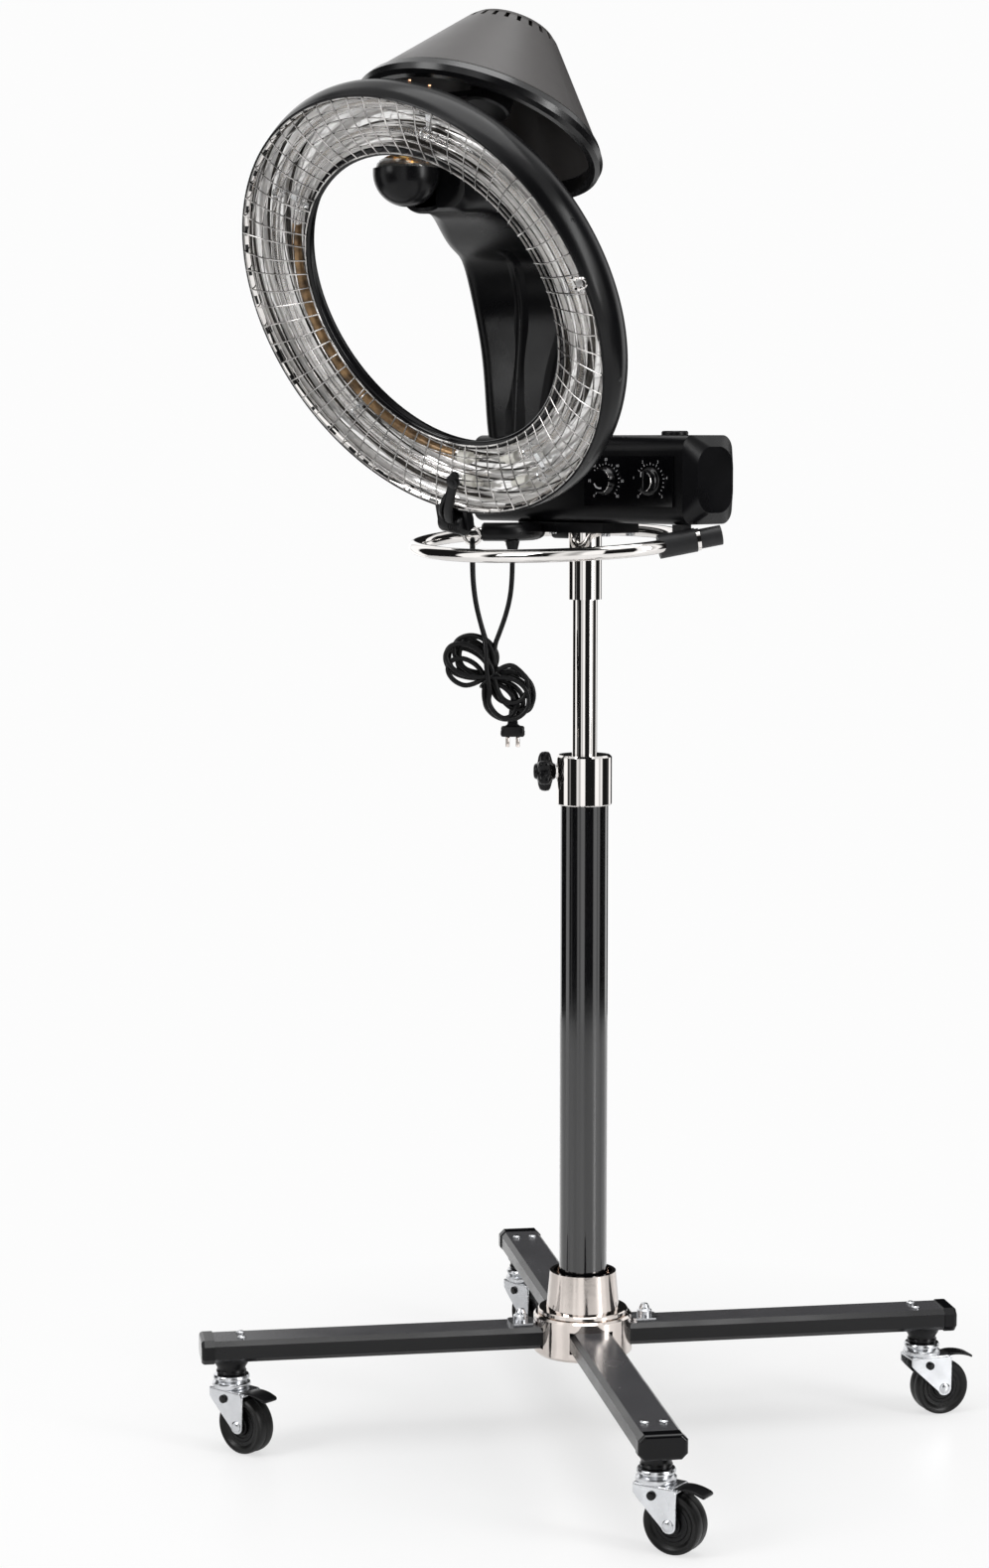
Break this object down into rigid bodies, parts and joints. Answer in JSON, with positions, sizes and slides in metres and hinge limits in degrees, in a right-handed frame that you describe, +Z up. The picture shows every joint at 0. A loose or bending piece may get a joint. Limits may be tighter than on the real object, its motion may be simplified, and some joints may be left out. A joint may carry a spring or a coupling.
{
  "type": "hair color processor",
  "caption": "Floor-standing infrared ring heater that swings under a tapered motor cover on a curved arm, over a dialled control box, a lifting post and a castored cross base.",
  "frame": {"origin": "on the floor, under the axis of the column and the lifting post", "axes": "+Z up along the column; -Y is the front, where the ring faces and the dials are"},
  "size_m": [0.649, 0.6679, 1.4101],
  "materials": {
    "leg_paint": "dark grey semi-gloss paint",
    "black_paint": "black satin paint",
    "plating": "polished plating",
    "black_plastic": "black moulded plastic",
    "housing_plastic": "black satin moulding",
    "bell_plastic": "charcoal grey-brown satin moulding",
    "gloss_black": "gloss black",
    "dial_plastic": "black with a fine white pointer",
    "tyre": "hard black tread",
    "grip_rubber": "grey-black grip",
    "cord_jacket": "black jacket",
    "reflector": "bright polished",
    "heater": "clouded gold quartz",
    "lamp": "clear dome over a gold lamp",
    "motor_steel": "plain steel"
  },
  "bodies": {
    "base": {"base_hub": "plating", "leg_end_caps": "black_plastic", "base_fasteners": "plating", "column_tube": "black_paint", "height_collar": "plating", "collar_bush": "black_plastic", "castor_mounts": "black_paint", "leg_rear_right": "leg_paint", "leg_rear_left": "leg_paint", "leg_front_left": "leg_paint", "leg_front_right": "leg_paint"},
    "height_knob": {"height_knob": "black_plastic"},
    "lift": {"lift_post": "plating"},
    "timer_dial": {"timer_dial": "dial_plastic"},
    "heat_dial": {"heat_dial": "dial_plastic"},
    "start_button": {"start_button": "black_plastic"},
    "ring": {"ring_shell": "black_paint", "ring_reflector": "reflector", "heater_tubes": "heater", "wire_guard": "plating", "ring_inner_rim": "gloss_black", "carrier_hub": "motor_steel", "carrier_arm": "black_paint"},
    "latch": {"guard_latch": "black_plastic"},
    "castor_rear_right": {"castor_frame_rear_right": "plating"},
    "wheel_rear_right": {"castor_wheel_rear_right": "tyre"},
    "brake_rear_right": {"castor_brake_rear_right": "black_plastic"},
    "castor_rear_left": {"castor_frame_rear_left": "plating"},
    "wheel_rear_left": {"castor_wheel_rear_left": "tyre"},
    "brake_rear_left": {"castor_brake_rear_left": "black_plastic"},
    "castor_front_left": {"castor_frame_front_left": "plating"},
    "wheel_front_left": {"castor_wheel_front_left": "tyre"},
    "brake_front_left": {"castor_brake_front_left": "black_plastic"},
    "castor_front_right": {"castor_frame_front_right": "plating"},
    "wheel_front_right": {"castor_wheel_front_right": "tyre"},
    "brake_front_right": {"castor_brake_front_right": "black_plastic"},
    "head": {"post_sleeve": "plating", "mount_plate": "black_paint", "box_front_shell": "housing_plastic", "box_back_shell": "housing_plastic", "box_end_caps": "housing_plastic", "dial_bezels": "gloss_black", "switch_units": "black_plastic", "bell_cover": "bell_plastic", "swing_motor": "motor_steel", "arm_left_shell": "housing_plastic", "arm_right_shell": "housing_plastic", "arm_frame": "black_paint", "sensor_cup": "gloss_black", "sensor_lamp": "lamp", "handle_loop": "plating", "handle_grip": "grip_rubber", "handle_brackets": "black_plastic", "strain_relief": "cord_jacket", "cord_hook": "plating", "cord_hank": "cord_jacket", "cord_lead": "cord_jacket", "cord_bight": "cord_jacket", "cord_plug": "black_plastic", "head_screws": "plating"}
  },
  "joints": [
    {"name": "height_slide", "type": "slide", "parent": "base", "child": "lift", "axis": [0, 0, 1], "range_m": [-0.15, 0.3]},
    {"name": "head_swivel", "type": "hinge", "parent": "lift", "child": "head", "pos_m": [0, 0, 0.88], "axis": [0, 0, 1], "range_deg": [-170, 170]},
    {"name": "ring_orbit", "type": "hinge", "parent": "head", "child": "ring", "pos_m": [0, -0.241, 1.126], "axis": [0, 0.4462, 0.8949], "range_deg": [-80, 80]},
    {"name": "timer_turn", "type": "hinge", "parent": "head", "child": "timer_dial", "pos_m": [0.066, -0.05, 0.967], "axis": [0, -1, 0], "range_deg": [-270, 0]},
    {"name": "heat_turn", "type": "hinge", "parent": "head", "child": "heat_dial", "pos_m": [0.121, -0.05, 0.967], "axis": [0, -1, 0], "range_deg": [-270, 0]},
    {"name": "start_press", "type": "slide", "parent": "head", "child": "start_button", "axis": [0, 0, -1], "range_m": [0, 0.003], "stiffness_N_per_m": 400},
    {"name": "latch_open", "type": "hinge", "parent": "ring", "child": "latch", "pos_m": [-0.04772, -0.13547, 0.92778], "axis": [0.9781, 0.0928, -0.1861], "range_deg": [0, 60]},
    {"name": "height_knob_turn", "type": "hinge", "parent": "base", "child": "height_knob", "pos_m": [0, 0, 0.677], "axis": [-0.766, -0.6428, 0], "range_deg": [0, 360]},
    {"name": "swivel_rear_right", "type": "hinge", "parent": "base", "child": "castor_rear_right", "pos_m": [0.2253, 0.27822, 0.07], "axis": [0, 0, 1], "continuous": true},
    {"name": "roll_rear_right", "type": "hinge", "parent": "castor_rear_right", "child": "wheel_rear_right", "pos_m": [0.2353, 0.29554, 0.029], "axis": [-0.866, 0.5, 0], "continuous": true},
    {"name": "brake_rear_right", "type": "hinge", "parent": "castor_rear_right", "child": "brake_rear_right", "pos_m": [0.2388, 0.3016, 0.0615], "axis": [-0.866, 0.5, 0], "range_deg": [0, 20]},
    {"name": "swivel_rear_left", "type": "hinge", "parent": "base", "child": "castor_rear_left", "pos_m": [-0.27822, 0.2253, 0.07], "axis": [0, 0, 1], "continuous": true},
    {"name": "roll_rear_left", "type": "hinge", "parent": "castor_rear_left", "child": "wheel_rear_left", "pos_m": [-0.25866, 0.22114, 0.029], "axis": [0.2079, 0.9781, 0], "continuous": true},
    {"name": "brake_rear_left", "type": "hinge", "parent": "castor_rear_left", "child": "brake_rear_left", "pos_m": [-0.25181, 0.21968, 0.0615], "axis": [0.2079, 0.9781, 0], "range_deg": [0, 20]},
    {"name": "swivel_front_left", "type": "hinge", "parent": "base", "child": "castor_front_left", "pos_m": [-0.2253, -0.27822, 0.07], "axis": [0, 0, 1], "continuous": true},
    {"name": "roll_front_left", "type": "hinge", "parent": "castor_front_left", "child": "wheel_front_left", "pos_m": [-0.20531, -0.27752, 0.029], "axis": [-0.0349, 0.9994, 0], "continuous": true},
    {"name": "brake_front_left", "type": "hinge", "parent": "castor_front_left", "child": "brake_front_left", "pos_m": [-0.19831, -0.27728, 0.0615], "axis": [-0.0349, 0.9994, 0], "range_deg": [0, 20]},
    {"name": "swivel_front_right", "type": "hinge", "parent": "base", "child": "castor_front_right", "pos_m": [0.27822, -0.2253, 0.07], "axis": [0, 0, 1], "continuous": true},
    {"name": "roll_front_right", "type": "hinge", "parent": "castor_front_right", "child": "wheel_front_right", "pos_m": [0.29791, -0.22182, 0.029], "axis": [-0.1736, 0.9848, 0], "continuous": true},
    {"name": "brake_front_right", "type": "hinge", "parent": "castor_front_right", "child": "brake_front_right", "pos_m": [0.30481, -0.22061, 0.0615], "axis": [-0.1736, 0.9848, 0], "range_deg": [0, 20]}
  ]
}
